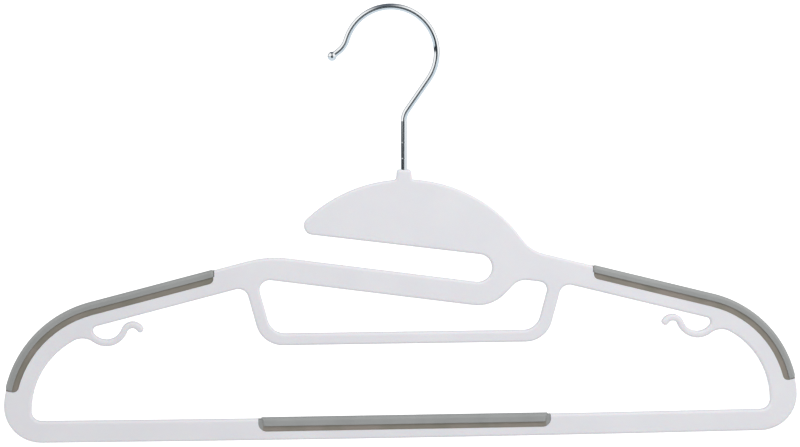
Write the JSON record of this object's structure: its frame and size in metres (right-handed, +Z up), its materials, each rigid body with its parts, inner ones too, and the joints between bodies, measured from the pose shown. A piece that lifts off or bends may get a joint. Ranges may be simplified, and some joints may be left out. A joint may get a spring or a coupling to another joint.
{
  "type": "skirt hanger",
  "caption": "Flat white moulded hanger with soft grey grips, an open strap slot, a belt frame, strap hooks under the arms and a swivelling wire hook.",
  "frame": {"origin": "inside of the hook's crown, where it bears on the rail, in the hanger's middle plane", "axes": "+X along the trouser bar, with the hook's tip towards -X; +Y from the front to the back; +Z up"},
  "size_m": [0.42, 0.0054, 0.2288],
  "materials": {
    "plated_steel": "bright plated",
    "white_plastic": "satin",
    "grip_rubber": "matte"
  },
  "bodies": {
    "hook": {"swivel_hook": "plated_steel"},
    "hanger": {"hanger_body": "white_plastic", "left_shoulder_grip": "grip_rubber", "right_shoulder_grip": "grip_rubber", "bar_grip": "grip_rubber"}
  },
  "joints": [
    {"name": "hook_swivel", "type": "hinge", "parent": "hook", "child": "hanger", "pos_m": [0.0066, 0, -0.0833], "axis": [0, 0, 1], "continuous": true}
  ]
}
